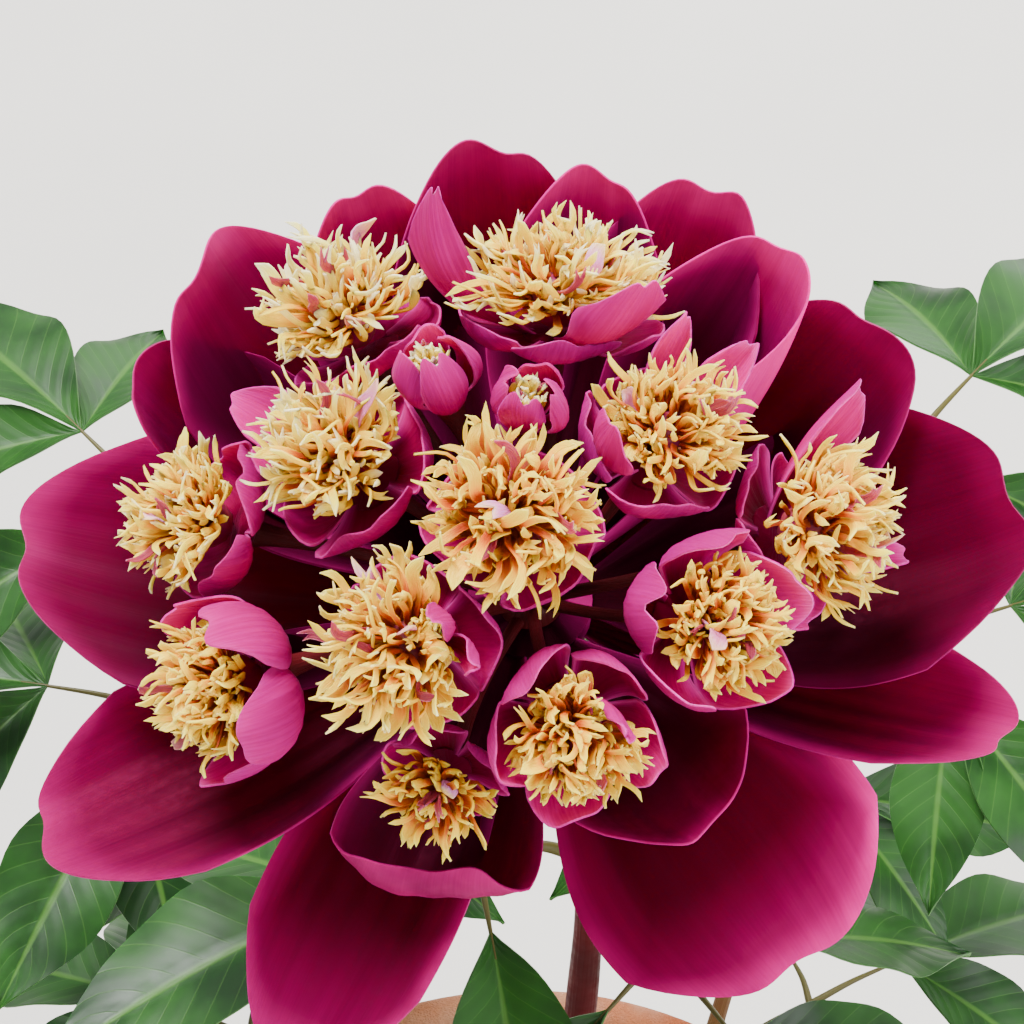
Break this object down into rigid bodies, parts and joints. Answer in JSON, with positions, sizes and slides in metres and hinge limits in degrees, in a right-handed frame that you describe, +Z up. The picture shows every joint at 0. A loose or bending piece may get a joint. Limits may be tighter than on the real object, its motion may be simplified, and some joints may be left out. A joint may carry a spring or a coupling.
{
  "type": "potted red peony",
  "caption": "Peony in a plain clay pot: one compound crimson bloom of broad guard petals round a dome of yellow tufted florets, on a red stem, with compound leaves on leafy shoots.",
  "frame": {"origin": "middle of the flat underside of the pot's foot", "axes": "+Z up from the pot's foot to the bloom, -Y the side the bloom leans to, +X to the right"},
  "size_m": [0.4007, 0.3585, 0.5771],
  "materials": {
    "terracotta": "matte",
    "potting_soil": "matte",
    "red_stem": "satin",
    "green_stem": "satin",
    "leaf": "satin",
    "sepal": "satin",
    "guard_petal": "satin",
    "collar_petal": "satin",
    "staminode": "matte"
  },
  "bodies": {
    "root": {"collar_a": "collar_petal", "collar_b": "collar_petal", "collar_c": "collar_petal", "collar_d": "collar_petal", "collar_e": "collar_petal", "collar_f": "collar_petal", "collar_g": "collar_petal", "collar_h": "collar_petal", "collar_i": "collar_petal", "collar_j": "collar_petal", "collar_k": "collar_petal", "collar_l": "collar_petal", "collar_m": "collar_petal", "collar_n": "collar_petal", "flower_stem": "red_stem", "guard_petals": "guard_petal", "leaf_01": "leaf", "leaf_02": "leaf", "leaf_03": "leaf", "leaf_04": "leaf", "leaf_05": "leaf", "leaf_06": "leaf", "leaf_07": "leaf", "leaf_08": "leaf", "leaf_09": "leaf", "leaf_10": "leaf", "leaf_11": "leaf", "leaf_12": "leaf", "leaf_13": "leaf", "leaf_14": "leaf", "leaf_15": "leaf", "leaf_16": "leaf", "leaf_17": "leaf", "leaf_18": "leaf", "pot": "terracotta", "sepals": "sepal", "shoot_back_left": "green_stem", "shoot_back_right": "green_stem", "shoot_front_left": "green_stem", "shoot_front_right": "green_stem", "soil": "potting_soil", "tuft_a": "staminode", "tuft_b": "staminode", "tuft_c": "staminode", "tuft_d": "staminode", "tuft_e": "staminode", "tuft_f": "staminode", "tuft_g": "staminode", "tuft_h": "staminode", "tuft_i": "staminode", "tuft_j": "staminode", "tuft_k": "staminode", "tuft_l": "staminode", "tuft_m": "staminode", "tuft_n": "staminode"}
  },
  "joints": []
}
